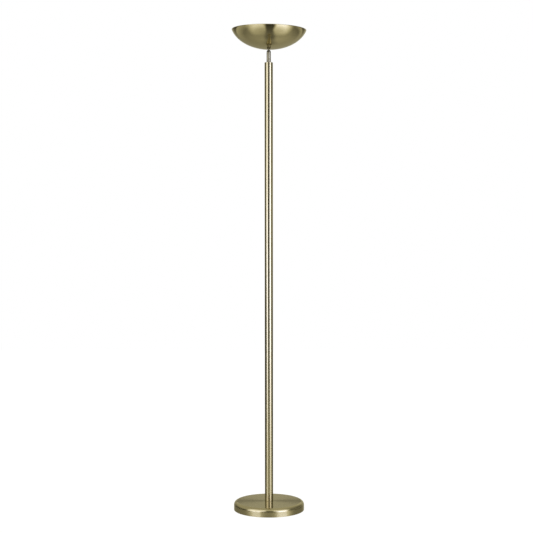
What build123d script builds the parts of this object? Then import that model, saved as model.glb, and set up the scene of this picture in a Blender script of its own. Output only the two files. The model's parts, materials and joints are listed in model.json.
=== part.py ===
from build123d import *
from math import asin, cos, degrees, radians, sin, sqrt
import os

os.makedirs("parts", exist_ok=True)

# A torchiere floor lamp: a weighted round base, a pole in three screwed sections and an
# uplighting bowl on a friction ball joint. Millimetres, +Z up, origin on the floor under
# the pole's axis, +Y to the rear, where the cord goes in.

# ---- Driving dimensions ---------------------------------------------------------------

# Base
FOOT_H = 1.5
BASE_R = 131.7
BASE_TOP = 33.2
BASE_CORNER_R = 13.0
SHEET = 1.0
PLATE_T = 1.2
WEIGHT_R = 122.0
WEIGHT_CORNER_R = 8.0
WEIGHT_RIM_W = 16.0
WEB_BOTTOM = 14.0
HUB_R = 30.0
NUT_POCKET_R = 17.5
NUT_POCKET_TOP = 24.0
NOTCH_W = 13.0
NOTCH_INNER_R = 15.5
PLATE_SCREW_RING_R = 114.0
PLATE_SCREW_ANGLES = (30, 150, 270)
PLATE_SCREW_R = 2.0
PLATE_SCREW_L = 10.0
PLATE_SCREW_HEAD_R = 3.6
PLATE_SCREW_HEAD_T = 1.0
PLATE_GAP = 0.4
PAD_RING_R = 112.0
PAD_R = 8.0
PADS = 6

# Cord inlet and terminal block, both on the rear side
GROMMET_Z = 11.0
GROMMET_BORE_R = 3.4
GROMMET_NECK_R = 5.0
GROMMET_FLANGE_R = 7.0
GROMMET_FLANGE_T = 2.0
GROMMET_BEVEL = 0.8
GROMMET_GRIP = 1.25
BLOCK_Y = 77.0
BLOCK_L = 22.0
BLOCK_W = 21.0
BLOCK_BOTTOM = 3.4
BLOCK_CORNER_R = 1.0
WIRE_Z = 8.2
BARREL_X = 6.0
BARREL_R = 2.6
BARREL_BORE_R = 1.8
BARREL_L = 20.0
CLAMP_Y = 5.0
CLAMP_R = 1.4
CLAMP_HEAD_R = 1.9
CLAMP_HEAD_T = 1.2
CLAMP_L = 1.7
BLOCK_SCREW_SINK = 2.0
BLOCK_SCREW_GRIP = 8.0
BLOCK_SCREW_SHORT = 1.0

# Pole
POLE_R = 15.5
POLE_WALL = 1.2
POLE_SECTION = 546.0
POLE_TOP = 1675.7
POLE_CAP_T = 6.0
POLE_CAP_CORNER_R = 1.2
SEAM_CHAMFER = 0.3
PLUG_L = 22.0
PLUG_WALL = 2.8
COUPLER_L = 70.0
COUPLER_CHAMFER = 1.0
FIT = 0.08

# Screw heads, all alike: sides drawn in by this angle, and a cross recess as shares of
# the head's radius and thickness
HEAD_DRAFT = 12.0
RECESS_L_SHARE = 1.15
RECESS_W_SHARE = 0.28
RECESS_DEPTH_SHARE = 0.55

# M10 tube threads, as plain cylinders
NIPPLE_R = 4.95
NIPPLE_BORE_R = 3.5
THREAD_R = 5.0
HOLE_R = 5.3
NUT_AF = 14.0
NUT_T = 4.5
NUT_CORNER_SHARE = 0.942
WASHER_R = 9.0
WASHER_T = 1.2
NIPPLE_PROUD = 0.8
NIPPLE_GRIP = 15.0
CAP_WEB_T = 5.0
TOP_NIPPLE_END = 1696.5

# Ball joint
JOINT_R = 7.9
LOCK_RING_T = 10.4
RING_CHAMFER = 0.35
CAP_SEAM_Z = 1712.7
BALL_Z = 1716.2
BALL_R = 5.8
SOCKET_R = 6.0
SEAT_R = 5.9
SEAT_TOP_DROP = 2.2
SEAT_BORE_R = 2.6
NECK_R = 3.75
BALL_FLAT_R = 2.9
STEM_THREAD_R = 3.2
STEM_BORE_R = 2.3
LIP_ANGLE = 61.5
CAP_TOP_R = 5.9
CAP_TOP_H = 4.45
CAP_THREAD_R = 6.9
CAP_THREAD_L = 6.0
CAP_STRAIGHT = 1.5
SPRING_FLOOR_Z = 1697.5
DISC_SPRINGS = 3
DISC_SPRING_R = 5.7
DISC_SPRING_BORE_R = 3.2
DISC_SPRING_T = 0.5
DISC_SPRING_RISE = 0.35
SPRING_GAP = 0.05

# The head leans a little on its ball joint: this much, about this level line
HEAD_TILT = 1.73
TILT_HEADING = 31.7
APEX_H = 8.6

# Bowl: part of an ellipse of revolution, flat under the stem, closed by a wired bead
BOWL_A = 144.2
BOWL_B = 96.6
BOWL_SHEET = 0.9
BOWL_EDGE_H = 70.4
BEAD_R = 1.9
BOWL_FLAT_R = 12.0

# Lamp unit, heights above the bowl's lowest point
CLAMP_WASHER_R = 10.5
SPACER_R = 6.0
BRACKET_H = 16.0
BRACKET_T = 1.5
BRACKET_W = 22.0
BRACKET_HALF = 73.5
BRACKET_BEND_R = 2.5
TAB_INNER = 62.0
LOCK_WASHER_R = 6.4
LOCK_WASHER_T = 0.8
STEM_NUT_AF = 11.0
STEM_NUT_T = 4.0
STEM_PROUD = 1.5
STEM_THREAD_FIT = 0.05
GLASS_H = 58.0
GLASS_T = 3.0
GLASS_L = 142.0
GLASS_W = 50.0
GLASS_CORNER_R = 3.0
GLASS_BEVEL = 0.4
CLIP_T = 0.6
CLIP_W = 16.0
CLIP_LOW = 39.0
CLIP_INNER = 65.0
CLIP_BEND_R = 1.0
LAMP_H = 47.0
LAMP_HALF = 58.8
CONTACT_HALF = 57.1
TUBE_R = 5.5
TUBE_WALL = 0.9
TUBE_STRAIGHT_HALF = 39.0
TUBE_NECK_R = 3.2
TUBE_NECK_HALF = 43.5
TUBE_HALF = 50.0
LAMP_END_R = 4.2
LAMP_END_IN = 46.0
LAMP_RECESS_R = 2.6
FILAMENT_R = 0.9
FILAMENT_HALF = 36.0
FILAMENT_LEG_R = 0.35
HOLDER_IN = 52.0
HOLDER_W = 18.0
HOLDER_LOW = 37.0
HOLDER_HIGH = 54.5
HOLDER_EDGE_R = 1.2
SLOT_R = 4.8
SLOT_END = 61.0
HOLDER_SCREW_Y = 5.0
HOLDER_SCREW_H = 43.0
HOLDER_SCREW_L = 9.0
SCREW_R = 1.5
SCREW_HEAD_R = 2.6
SCREW_HEAD_T = 1.8
PIN_R = 2.2
PIN_NOSE_R = 1.9
PIN_NOSE_END = 60.0
PIN_TIP_R = 0.8
PIN_BORE_R = 2.3
PIN_BACK = 66.0
PIN_BORE_END = 69.0
PIN_GAP = 0.05
PIN_SPRING_R = 2.0
PIN_SPRING_WALL = 0.5
REFLECTOR_R = 15.0
REFLECTOR_T = 0.6
REFLECTOR_ARC = 55.0
REFLECTOR_HALF = 50.0
REFLECTOR_TOP = 56.5
POST_X = 35.0
POST_R = 3.0
RIVET_R = 1.5
RIVET_HEAD_R = 2.8
RIVET_HEAD_T = 1.0
RIVET_HEAD_RISE = 0.3
CLEAR = 0.1

# Wires: single leads in the head, one two-core cable in the pole
LEAD_R = 0.9
LEAD_GAP = 1.0
LEAD_H = 29.7
LEAD_Y = 6.5
LEAD_X = 62.0
LEAD_TURN_X = 18.0
LEAD_BEND_R = 5.0
LEAD_SWEEP_R = 20.0
LEAD_ENTRY_L = 5.0
LEAD_SHORT = 1.0
LEAD_START_H = -11.0
CABLE_R = 2.5
CABLE_END_Y = 58.0
CABLE_BEND_R = 9.0
CABLE_TOP_DROP = 6.4
CORE_STRAIGHT = 2.5
CORE_ENTRY_Y = 66.5
CORE_BEND_R = 3.0

# ---- Values worked out from them ------------------------------------------------------

PLATE_TOP = FOOT_H + PLATE_T
BASE_INNER_TOP = BASE_TOP - SHEET
GROMMET_INNER_Y = BASE_R - GROMMET_GRIP
POLE_BORE_R = POLE_R - POLE_WALL
PLUG_R = POLE_BORE_R - FIT
SEAM_LOWER = BASE_TOP + POLE_SECTION
SEAM_UPPER = SEAM_LOWER + POLE_SECTION
POLE_CAP_SEAM = POLE_TOP - POLE_CAP_T
LOCK_RING_TOP = POLE_TOP + LOCK_RING_T
SEAT_BOTTOM = SPRING_FLOOR_Z + DISC_SPRINGS * (DISC_SPRING_T + DISC_SPRING_RISE) + SPRING_GAP
BRACKET_TOP_H = BRACKET_H + BRACKET_T
STEM_NUT_H = BRACKET_TOP_H + LOCK_WASHER_T
STEM_TOP_H = STEM_NUT_H + STEM_NUT_T + STEM_PROUD
HOLDER_OUT = BRACKET_HALF - BRACKET_T
REFLECTOR_BOTTOM_H = LAMP_H - REFLECTOR_R - REFLECTOR_T

BALL_CENTRE = Vector(0, 0, BALL_Z)
LEAN_LINE = Axis(BALL_CENTRE, (cos(radians(TILT_HEADING)), sin(radians(TILT_HEADING)), 0))
HEAD_UP = Vector(0, 0, 1).rotate(LEAN_LINE, HEAD_TILT)
HEAD_X = Vector(1, 0, 0).rotate(LEAN_LINE, HEAD_TILT)
HEAD_Y = HEAD_UP.cross(HEAD_X)
APEX = BALL_CENTRE + HEAD_UP * APEX_H
HEAD_AXIS = Axis(APEX, HEAD_UP)
LAMP_AXIS = Axis(APEX + HEAD_UP * LAMP_H, HEAD_X)

# Planes of the leaning head, all with their origin at the bowl's lowest point: level with
# the rim, upright along the lamp (x, height), and square to the lamp (y, height)
HEAD_LEVEL = Plane(APEX, x_dir=HEAD_X, z_dir=HEAD_UP)
HEAD_SIDE = Plane(APEX, x_dir=HEAD_X, z_dir=-HEAD_Y)
HEAD_END = Plane(APEX, x_dir=HEAD_Y, z_dir=HEAD_X)
BALL_SIDE = Plane(BALL_CENTRE, x_dir=HEAD_X, z_dir=-HEAD_Y)
SIDES = {"left": -1, "right": 1}
BLOCK_REAR = Plane((0, BLOCK_Y + BLOCK_L / 2, 0), x_dir=(-1, 0, 0), z_dir=(0, 1, 0))
PLATE_SCREW_POINTS = [
    (PLATE_SCREW_RING_R * cos(radians(angle)), PLATE_SCREW_RING_R * sin(radians(angle)))
    for angle in PLATE_SCREW_ANGLES
]


def bowl_arc(inset):
    """The bowl's elliptic arc, or one inset inside it: its ellipse, start and sweep angle."""
    start = degrees(asin(BOWL_FLAT_R / (BOWL_A - inset))) - 90
    end = -degrees(asin((BOWL_B - BOWL_EDGE_H) / BOWL_B))
    return {
        "center": (0, BOWL_B),
        "x_radius": BOWL_A - inset,
        "y_radius": BOWL_B - inset,
        "start_angle": start,
        "arc_size": end - start,
    }


def bowl_flat_h(inset):
    """Height of the pressed flat under the stem, on the outside or inset inside it."""
    return BOWL_B - (BOWL_B - inset) * sqrt(1 - (BOWL_FLAT_R / (BOWL_A - inset)) ** 2)


SEAT_H = bowl_flat_h(BOWL_SHEET)
CLAMP_WASHER_TOP_H = SEAT_H + WASHER_T


def ring(plane, outer, inner, height):
    """A plain ring, such as a washer, a collar or a tube, standing on a plane."""
    with BuildPart() as made:
        with BuildSketch(plane):
            Circle(outer)
            Circle(inner, mode=Mode.SUBTRACT)
        extrude(amount=height)
    return made


def hex_nut(plane, across_flats, bore, height):
    """A hexagon nut standing on a plane, with its corners turned off."""
    with BuildPart() as made:
        with BuildSketch(plane):
            RegularPolygon(across_flats / sqrt(3), 6)
            Circle(bore, mode=Mode.SUBTRACT)
        extrude(amount=height)
        with BuildSketch(plane):
            Circle(across_flats / sqrt(3) * NUT_CORNER_SHARE)
        extrude(amount=height, mode=Mode.INTERSECT)
    return made


def headed_pins(planes, head_r, head_t, shank_r, shank_l):
    """Cross-recessed screws: each head stands on its plane, and the shank goes down from it."""
    with BuildPart() as made:
        for plane in planes:
            with BuildSketch(plane):
                Circle(head_r)
            extrude(amount=head_t, taper=HEAD_DRAFT)
            with BuildSketch(plane.offset(head_t)):
                for turn in (0, 90):
                    Rectangle(head_r * RECESS_L_SHARE, head_r * RECESS_W_SHARE, rotation=turn)
            extrude(amount=-head_t * RECESS_DEPTH_SHARE, mode=Mode.SUBTRACT)
            with BuildSketch(plane):
                Circle(shank_r)
            extrude(amount=-shank_l)
    return made


def down_plane(x, y, z):
    """A plane facing the floor, for what is screwed in from below."""
    return Plane((x, y, z), x_dir=(1, 0, 0), z_dir=(0, 0, -1))


# ---- Base -----------------------------------------------------------------------------

# Spun cover: one sheet, rounded over at the rim, its open side closed by the base plate
with BuildPart() as base_cover:
    with BuildSketch(Plane.XZ):
        with BuildLine():
            outside = FilletPolyline(
                (HOLE_R, BASE_TOP), (BASE_R, BASE_TOP), (BASE_R, FOOT_H), radius=BASE_CORNER_R
            )
            inside = FilletPolyline(
                (HOLE_R, BASE_INNER_TOP),
                (BASE_R - SHEET, BASE_INNER_TOP),
                (BASE_R - SHEET, FOOT_H),
                radius=BASE_CORNER_R - SHEET,
            )
            Line(outside @ 0, inside @ 0)
            Line(outside @ 1, inside @ 1)
        make_face()
    revolve(axis=Axis.Z)
    with Locations(Plane((0, BASE_R, GROMMET_Z), z_dir=(0, 1, 0))):
        Hole(GROMMET_NECK_R, depth=3 * SHEET)
base_cover.part.label = "base_cover"
export_step(base_cover.part, "parts/base_cover.step")

# Cast iron weight: a thick web with a rim and a hub below, notched to the rear for the cord
with BuildPart() as base_weight:
    with BuildSketch(Plane.XZ):
        with BuildLine():
            crown = FilletPolyline(
                (HOLE_R, BASE_INNER_TOP),
                (WEIGHT_R, BASE_INNER_TOP),
                (WEIGHT_R, PLATE_TOP),
                radius=WEIGHT_CORNER_R,
            )
            Polyline(
                crown @ 1,
                (WEIGHT_R - WEIGHT_RIM_W, PLATE_TOP),
                (WEIGHT_R - WEIGHT_RIM_W, WEB_BOTTOM),
                (HUB_R, WEB_BOTTOM),
                (HUB_R, PLATE_TOP),
                (NUT_POCKET_R, PLATE_TOP),
                (NUT_POCKET_R, NUT_POCKET_TOP),
                (HOLE_R, NUT_POCKET_TOP),
                crown @ 0,
            )
        make_face()
    revolve(axis=Axis.Z)
    with BuildSketch(Plane.XY.offset(PLATE_TOP)):
        with Locations((0, WEIGHT_R)):
            Rectangle(NOTCH_W, 2 * (WEIGHT_R - NOTCH_INNER_R))
    extrude(amount=WEB_BOTTOM - PLATE_TOP, mode=Mode.SUBTRACT)
    with BuildSketch(Plane.XY.offset(PLATE_TOP)):
        with Locations(*PLATE_SCREW_POINTS):
            Circle(PLATE_SCREW_R)
    extrude(amount=PLATE_SCREW_L, mode=Mode.SUBTRACT)
    with BuildSketch(Plane.XY.offset(WEB_BOTTOM)):
        with Locations((0, BLOCK_Y)):
            Circle(SCREW_R)
    extrude(amount=BLOCK_SCREW_GRIP, mode=Mode.SUBTRACT)
base_weight.part.label = "base_weight"
export_step(base_weight.part, "parts/base_weight.step")

with BuildPart() as base_plate:
    with BuildSketch(Plane.XY.offset(FOOT_H)):
        Circle(BASE_R - SHEET - PLATE_GAP)
        with Locations(*PLATE_SCREW_POINTS):
            Circle(PLATE_SCREW_R + CLEAR, mode=Mode.SUBTRACT)
    extrude(amount=PLATE_T)
base_plate.part.label = "base_plate"
export_step(base_plate.part, "parts/base_plate.step")

base_plate_screws = headed_pins(
    [down_plane(x, y, FOOT_H) for x, y in PLATE_SCREW_POINTS],
    PLATE_SCREW_HEAD_R,
    PLATE_SCREW_HEAD_T,
    PLATE_SCREW_R,
    PLATE_SCREW_L,
)
base_plate_screws.part.label = "base_plate_screws"
export_step(base_plate_screws.part, "parts/base_plate_screws.step")

with BuildPart() as foot_pads:
    with BuildSketch(Plane.XY):
        with PolarLocations(PAD_RING_R, PADS):
            Circle(PAD_R)
    extrude(amount=FOOT_H)
foot_pads.part.label = "foot_pads"
export_step(foot_pads.part, "parts/foot_pads.step")

# Rubber grommet, snapped into the rear of the cover: two flanges and a neck
with BuildPart() as cord_grommet:
    with BuildSketch(Plane((0, BASE_R, GROMMET_Z), z_dir=(0, 1, 0))):
        Circle(GROMMET_FLANGE_R)
    extrude(amount=GROMMET_FLANGE_T)
    chamfer(cord_grommet.edges().group_by(Axis.Y)[-1], GROMMET_BEVEL)
    with BuildSketch(Plane((0, BASE_R, GROMMET_Z), z_dir=(0, -1, 0))):
        Circle(GROMMET_NECK_R)
    extrude(amount=GROMMET_GRIP)
    with BuildSketch(Plane((0, GROMMET_INNER_Y, GROMMET_Z), z_dir=(0, -1, 0))):
        Circle(GROMMET_FLANGE_R)
    extrude(amount=GROMMET_FLANGE_T)
    with BuildSketch(Plane((0, BASE_R + GROMMET_FLANGE_T, GROMMET_Z), z_dir=(0, -1, 0))):
        Circle(GROMMET_BORE_R)
    extrude(amount=GROMMET_GRIP + 2 * GROMMET_FLANGE_T, mode=Mode.SUBTRACT)
cord_grommet.part.label = "cord_grommet"
export_step(cord_grommet.part, "parts/cord_grommet.step")

# Two-way terminal block under the web: plastic body, brass barrels and clamp screws
BLOCK_POLES = [(-BARREL_X, WIRE_Z), (BARREL_X, WIRE_Z)]
BLOCK_SCREWS = [(x, BLOCK_Y + y) for x in (-BARREL_X, BARREL_X) for y in (-CLAMP_Y, CLAMP_Y)]
with BuildPart() as terminal_block:
    with BuildSketch(Plane.XY.offset(BLOCK_BOTTOM)):
        with Locations((0, BLOCK_Y)):
            RectangleRounded(BLOCK_W, BLOCK_L, BLOCK_CORNER_R)
    extrude(amount=WEB_BOTTOM - BLOCK_BOTTOM)
    with BuildSketch(BLOCK_REAR):
        with Locations(*[(-x, z) for x, z in BLOCK_POLES]):
            Circle(BARREL_R)
    extrude(amount=-BLOCK_L, mode=Mode.SUBTRACT)
    with BuildSketch(Plane.XY.offset(BLOCK_BOTTOM)):
        with Locations(*BLOCK_SCREWS):
            Circle(CLAMP_HEAD_R + CLEAR)
    extrude(amount=WIRE_Z - BLOCK_BOTTOM, mode=Mode.SUBTRACT)
    with BuildSketch(Plane.XY.offset(BLOCK_BOTTOM)):
        with Locations((0, BLOCK_Y)):
            Circle(SCREW_HEAD_R + CLEAR)
    extrude(amount=BLOCK_SCREW_SINK, mode=Mode.SUBTRACT)
    with BuildSketch(Plane.XY.offset(BLOCK_BOTTOM)):
        with Locations((0, BLOCK_Y)):
            Circle(SCREW_R)
    extrude(amount=WEB_BOTTOM - BLOCK_BOTTOM, mode=Mode.SUBTRACT)
terminal_block.part.label = "terminal_block"
export_step(terminal_block.part, "parts/terminal_block.step")

with BuildPart() as terminal_barrels:
    with BuildSketch(BLOCK_REAR.offset(-(BLOCK_L - BARREL_L) / 2)):
        with Locations(*[(-x, z) for x, z in BLOCK_POLES]):
            Circle(BARREL_R - CLEAR)
            Circle(BARREL_BORE_R, mode=Mode.SUBTRACT)
    extrude(amount=-BARREL_L)
    with BuildSketch(Plane.XY.offset(BLOCK_BOTTOM)):
        with Locations(*BLOCK_SCREWS):
            Circle(CLAMP_R)
    extrude(amount=WIRE_Z - BLOCK_BOTTOM, mode=Mode.SUBTRACT)
terminal_barrels.part.label = "terminal_barrels"
export_step(terminal_barrels.part, "parts/terminal_barrels.step")

CLAMP_HEAD_Z = WIRE_Z - BARREL_R
terminal_screws = headed_pins(
    [down_plane(x, y, CLAMP_HEAD_Z) for x, y in BLOCK_SCREWS],
    CLAMP_HEAD_R,
    CLAMP_HEAD_T,
    CLAMP_R,
    CLAMP_L,
)
terminal_screws.part.label = "terminal_screws"
export_step(terminal_screws.part, "parts/terminal_screws.step")

terminal_block_screw = headed_pins(
    [down_plane(0, BLOCK_Y, BLOCK_BOTTOM + BLOCK_SCREW_SINK)],
    SCREW_HEAD_R,
    SCREW_HEAD_T,
    SCREW_R,
    WEB_BOTTOM - BLOCK_BOTTOM - BLOCK_SCREW_SINK + BLOCK_SCREW_GRIP - BLOCK_SCREW_SHORT,
)
terminal_block_screw.part.label = "terminal_block_screw"
export_step(terminal_block_screw.part, "parts/terminal_block_screw.step")

# Threaded tube, washer and nut that draw the pole, the cover and the weight together
base_washer = ring(Plane.XY.offset(NUT_POCKET_TOP - WASHER_T), WASHER_R, THREAD_R, WASHER_T)
base_washer.part.label = "base_washer"
export_step(base_washer.part, "parts/base_washer.step")

BASE_NUT_Z = NUT_POCKET_TOP - WASHER_T - NUT_T
base_nut = hex_nut(Plane.XY.offset(BASE_NUT_Z), NUT_AF, THREAD_R, NUT_T)
base_nut.part.label = "base_nut"
export_step(base_nut.part, "parts/base_nut.step")

BASE_NIPPLE_Z = BASE_NUT_Z - NIPPLE_PROUD
base_nipple = ring(
    Plane.XY.offset(BASE_NIPPLE_Z), NIPPLE_R, NIPPLE_BORE_R, BASE_TOP + NIPPLE_GRIP - BASE_NIPPLE_Z
)
base_nipple.part.label = "base_nipple"
export_step(base_nipple.part, "parts/base_nipple.step")

# ---- Pole -----------------------------------------------------------------------------

# Foot plug, pressed into the lower tube: threaded bore below, hollow above
with BuildPart() as pole_foot:
    with BuildSketch(Plane.XZ):
        with BuildLine():
            Polyline(
                (THREAD_R, BASE_TOP),
                (PLUG_R, BASE_TOP),
                (PLUG_R, BASE_TOP + PLUG_L),
                (PLUG_R - PLUG_WALL, BASE_TOP + PLUG_L),
                (PLUG_R - PLUG_WALL, BASE_TOP + NIPPLE_GRIP),
                (THREAD_R, BASE_TOP + NIPPLE_GRIP),
                close=True,
            )
        make_face()
    revolve(axis=Axis.Z)
pole_foot.part.label = "pole_foot"
export_step(pole_foot.part, "parts/pole_foot.step")

POLE_SPANS = {
    "pole_lower": (BASE_TOP, SEAM_LOWER),
    "pole_middle": (SEAM_LOWER, SEAM_UPPER),
    "pole_upper": (SEAM_UPPER, POLE_CAP_SEAM),
}
for name, (low, high) in POLE_SPANS.items():
    with BuildPart() as pole_tube:
        with BuildSketch(Plane.XY.offset(low)):
            Circle(POLE_R)
            Circle(POLE_BORE_R, mode=Mode.SUBTRACT)
        extrude(amount=high - low)
        outer_edges = pole_tube.edges().filter_by(GeomType.CIRCLE).sort_by(SortBy.RADIUS)[-2:]
        chamfer(outer_edges, SEAM_CHAMFER)
    pole_tube.part.label = name
    export_step(pole_tube.part, f"parts/{name}.step")

for name, seam in {"pole_coupler_lower": SEAM_LOWER, "pole_coupler_upper": SEAM_UPPER}.items():
    with BuildPart() as coupler:
        with BuildSketch(Plane.XY.offset(seam - COUPLER_L / 2)):
            Circle(PLUG_R)
            Circle(PLUG_R - PLUG_WALL, mode=Mode.SUBTRACT)
        extrude(amount=COUPLER_L)
        rims = coupler.edges().filter_by(GeomType.CIRCLE).sort_by(SortBy.RADIUS)[-2:]
        chamfer(rims, COUPLER_CHAMFER)
    coupler.part.label = name
    export_step(coupler.part, f"parts/{name}.step")

# Turned cap that closes the pole: a flange as wide as the tube and a hollow spigot
CAP_WEB_Z = POLE_CAP_SEAM - CAP_WEB_T
with BuildPart() as pole_cap:
    with BuildSketch(Plane.XZ):
        with BuildLine():
            flange = FilletPolyline(
                (THREAD_R, POLE_TOP),
                (POLE_R, POLE_TOP),
                (POLE_R, POLE_CAP_SEAM + SEAM_CHAMFER),
                radius=POLE_CAP_CORNER_R,
            )
            Polyline(
                flange @ 1,
                (POLE_R - SEAM_CHAMFER, POLE_CAP_SEAM),
                (PLUG_R, POLE_CAP_SEAM),
                (PLUG_R, POLE_CAP_SEAM - PLUG_L),
                (PLUG_R - PLUG_WALL, POLE_CAP_SEAM - PLUG_L),
                (PLUG_R - PLUG_WALL, CAP_WEB_Z),
                (THREAD_R, CAP_WEB_Z),
                flange @ 0,
            )
        make_face()
    revolve(axis=Axis.Z)
pole_cap.part.label = "pole_cap"
export_step(pole_cap.part, "parts/pole_cap.step")

top_washer = ring(Plane.XY.offset(CAP_WEB_Z - WASHER_T), WASHER_R, THREAD_R, WASHER_T)
top_washer.part.label = "top_washer"
export_step(top_washer.part, "parts/top_washer.step")

TOP_NUT_Z = CAP_WEB_Z - WASHER_T - NUT_T
top_nut = hex_nut(Plane.XY.offset(TOP_NUT_Z), NUT_AF, THREAD_R, NUT_T)
top_nut.part.label = "top_nut"
export_step(top_nut.part, "parts/top_nut.step")

TOP_NIPPLE_Z = TOP_NUT_Z - NIPPLE_PROUD
top_nipple = ring(
    Plane.XY.offset(TOP_NIPPLE_Z), NIPPLE_R, NIPPLE_BORE_R, TOP_NIPPLE_END - TOP_NIPPLE_Z
)
top_nipple.part.label = "top_nipple"
export_step(top_nipple.part, "parts/top_nipple.step")

# Two-core cable, from the terminal block in the base up the pole to just under the ball
with BuildPart() as pole_cable:
    with BuildLine():
        cable_path = FilletPolyline(
            (0, CABLE_END_Y, WIRE_Z),
            (0, 0, WIRE_Z),
            (0, 0, BALL_Z - CABLE_TOP_DROP),
            radius=CABLE_BEND_R,
        )
    with BuildSketch(Plane(cable_path @ 0, z_dir=cable_path % 0)):
        Circle(CABLE_R)
    sweep()
pole_cable.part.label = "pole_cable"
export_step(pole_cable.part, "parts/pole_cable.step")

with BuildPart() as cable_cores:
    for x in (-1, 1):
        with BuildLine():
            core_path = FilletPolyline(
                (x * LEAD_GAP, CABLE_END_Y, WIRE_Z),
                (x * LEAD_GAP, CABLE_END_Y + CORE_STRAIGHT, WIRE_Z),
                (x * BARREL_X, CORE_ENTRY_Y, WIRE_Z),
                (x * BARREL_X, BLOCK_Y - CLEAR, WIRE_Z),
                radius=CORE_BEND_R,
            )
        with BuildSketch(Plane(core_path @ 0, z_dir=core_path % 0)):
            Circle(LEAD_R)
        sweep()
cable_cores.part.label = "cable_cores"
export_step(cable_cores.part, "parts/cable_cores.step")

# ---- Ball joint -----------------------------------------------------------------------

with BuildPart() as joint_lock_ring:
    with BuildSketch(Plane.XY.offset(POLE_TOP)):
        Circle(JOINT_R)
        Circle(THREAD_R, mode=Mode.SUBTRACT)
    extrude(amount=LOCK_RING_T)
    chamfer(
        joint_lock_ring.edges().filter_by(GeomType.CIRCLE).sort_by(SortBy.RADIUS)[-2:], RING_CHAMFER
    )
joint_lock_ring.part.label = "joint_lock_ring"
export_step(joint_lock_ring.part, "parts/joint_lock_ring.step")

# Housing: threaded below for the tube, bored for the springs and the seat, and
# threaded again at the mouth for the cap
with BuildPart() as joint_housing:
    with BuildSketch(Plane.XZ):
        with BuildLine():
            Polyline(
                (THREAD_R, LOCK_RING_TOP),
                (JOINT_R - RING_CHAMFER, LOCK_RING_TOP),
                (JOINT_R, LOCK_RING_TOP + RING_CHAMFER),
                (JOINT_R, CAP_SEAM_Z - SEAM_CHAMFER),
                (JOINT_R - SEAM_CHAMFER, CAP_SEAM_Z),
                (CAP_THREAD_R, CAP_SEAM_Z),
                (CAP_THREAD_R, CAP_SEAM_Z - CAP_THREAD_L),
                (SOCKET_R, CAP_SEAM_Z - CAP_THREAD_L),
                (SOCKET_R, SPRING_FLOOR_Z),
                (THREAD_R, SPRING_FLOOR_Z),
                close=True,
            )
        make_face()
    revolve(axis=Axis.Z)
joint_housing.part.label = "joint_housing"
export_step(joint_housing.part, "parts/joint_housing.step")

# Cap: rounded over towards the neck, with a spherical lip that holds the ball in
LIP_R = SOCKET_R * sin(radians(LIP_ANGLE))
LIP_H = SOCKET_R * cos(radians(LIP_ANGLE))
MID_R = SOCKET_R * sin(radians((90 + LIP_ANGLE) / 2))
MID_H = SOCKET_R * cos(radians((90 + LIP_ANGLE) / 2))
with BuildPart() as joint_cap:
    with BuildSketch(Plane.XZ):
        with BuildLine():
            Line((JOINT_R - SEAM_CHAMFER, CAP_SEAM_Z), (JOINT_R, CAP_SEAM_Z + SEAM_CHAMFER))
            Line((JOINT_R, CAP_SEAM_Z + SEAM_CHAMFER), (JOINT_R, CAP_SEAM_Z + CAP_STRAIGHT))
            TangentArc(
                (JOINT_R, CAP_SEAM_Z + CAP_STRAIGHT),
                (CAP_TOP_R, BALL_Z + CAP_TOP_H),
                tangent=(0, 1),
            )
            Line((CAP_TOP_R, BALL_Z + CAP_TOP_H), (LIP_R, BALL_Z + LIP_H))
            ThreePointArc((LIP_R, BALL_Z + LIP_H), (MID_R, BALL_Z + MID_H), (SOCKET_R, BALL_Z))
            Polyline(
                (SOCKET_R, BALL_Z),
                (SOCKET_R, CAP_SEAM_Z - CAP_THREAD_L),
                (CAP_THREAD_R, CAP_SEAM_Z - CAP_THREAD_L),
                (CAP_THREAD_R, CAP_SEAM_Z),
                (JOINT_R - SEAM_CHAMFER, CAP_SEAM_Z),
            )
        make_face()
    revolve(axis=Axis.Z)
joint_cap.part.label = "joint_cap"
export_step(joint_cap.part, "parts/joint_cap.step")

# Disc springs, dished up and down in turn, that press the seat against the ball
with BuildPart() as disc_springs:
    for count in range(DISC_SPRINGS):
        foot = SPRING_FLOOR_Z + count * (DISC_SPRING_T + DISC_SPRING_RISE)
        inner_up = DISC_SPRING_RISE if count % 2 == 0 else 0
        outer_up = DISC_SPRING_RISE - inner_up
        with BuildSketch(Plane.XZ):
            with BuildLine():
                Polyline(
                    (DISC_SPRING_BORE_R, foot + inner_up),
                    (DISC_SPRING_R, foot + outer_up),
                    (DISC_SPRING_R, foot + outer_up + DISC_SPRING_T),
                    (DISC_SPRING_BORE_R, foot + inner_up + DISC_SPRING_T),
                    close=True,
                )
            make_face()
        revolve(axis=Axis.Z)
disc_springs.part.label = "disc_springs"
export_step(disc_springs.part, "parts/disc_springs.step")

# Nylon seat with a spherical cup for the ball and a bore for the cable
SEAT_TOP_Z = BALL_Z - SEAT_TOP_DROP
with BuildPart() as ball_seat:
    with BuildSketch(Plane.XY.offset(SEAT_BOTTOM)):
        Circle(SEAT_R)
        Circle(SEAT_BORE_R, mode=Mode.SUBTRACT)
    extrude(amount=SEAT_TOP_Z - SEAT_BOTTOM)
    with Locations((0, 0, BALL_Z)):
        Sphere(BALL_R + CLEAR, mode=Mode.SUBTRACT)
ball_seat.part.label = "ball_seat"
export_step(ball_seat.part, "parts/ball_seat.step")

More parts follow.
